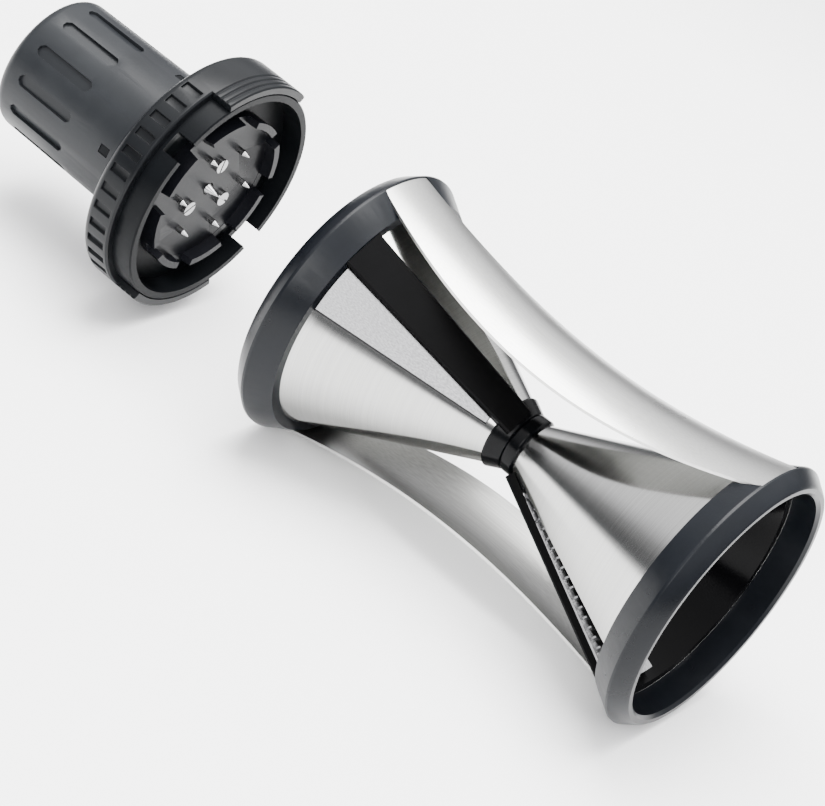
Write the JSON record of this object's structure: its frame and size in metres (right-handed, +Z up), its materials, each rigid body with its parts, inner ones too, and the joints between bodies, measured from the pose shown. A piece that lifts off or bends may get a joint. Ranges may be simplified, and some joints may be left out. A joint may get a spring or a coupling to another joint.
{
  "type": "hand-held spiral vegetable cutter",
  "caption": "Hourglass spiral cutter for vegetables: a bladed funnel at each end, steel side strips and a knob-shaped food holder that is twisted by hand.",
  "frame": {"origin": "middle of the bounding box, on the surface the cutter lies on", "axes": "+X along the cutter's axis from the food holder to the fine end, +Z up from the surface through the upper side strip, +Y across"},
  "size_m": [0.2578, 0.084, 0.084],
  "materials": {
    "frame_plastic": "satin black moulding",
    "cone_steel": "brushed around the cone",
    "liner_plastic": "smooth black",
    "carrier_plastic": "satin black moulding",
    "blade_steel": "ground blade steel",
    "pin_steel": "turned",
    "hub_plastic": "satin black moulding",
    "strip_steel": "brushed along its length",
    "holder_plastic": "satin black moulding",
    "flange_plastic": "satin black moulding",
    "grip_plastic": "satin black moulding",
    "crown_plastic": "satin black moulding"
  },
  "bodies": {
    "cutter_body": {"end_frame_a": "frame_plastic", "end_frame_b": "frame_plastic", "cone_shell_a": "cone_steel", "cone_shell_b": "cone_steel", "funnel_liner_a": "liner_plastic", "funnel_liner_b": "liner_plastic", "blade_carrier_a": "carrier_plastic", "blade_carrier_b": "carrier_plastic", "flat_blade_a": "blade_steel", "flat_blade_b": "blade_steel", "comb_blade_a": "blade_steel", "comb_blade_b": "blade_steel", "blade_pins_a": "pin_steel", "blade_pins_b": "pin_steel", "waist_hub": "hub_plastic", "side_strip_top": "strip_steel", "side_strip_bottom": "strip_steel"},
    "food_spike": {"food_spike": "pin_steel"},
    "food_holder": {"holder_base": "holder_plastic", "flange_ring": "flange_plastic", "grip_shell": "grip_plastic", "claw_crown": "crown_plastic", "holding_pins": "pin_steel", "crown_screws": "pin_steel"}
  },
  "joints": [
    {"name": "holder_slide", "type": "slide", "parent": "cutter_body", "child": "food_spike", "axis": [-1, 0, 0], "range_m": [-0.0455, 0.04]},
    {"name": "holder_twist", "type": "hinge", "parent": "food_spike", "child": "food_holder", "pos_m": [-0.07, 0, 0.042], "axis": [1, 0, 0], "continuous": true}
  ]
}
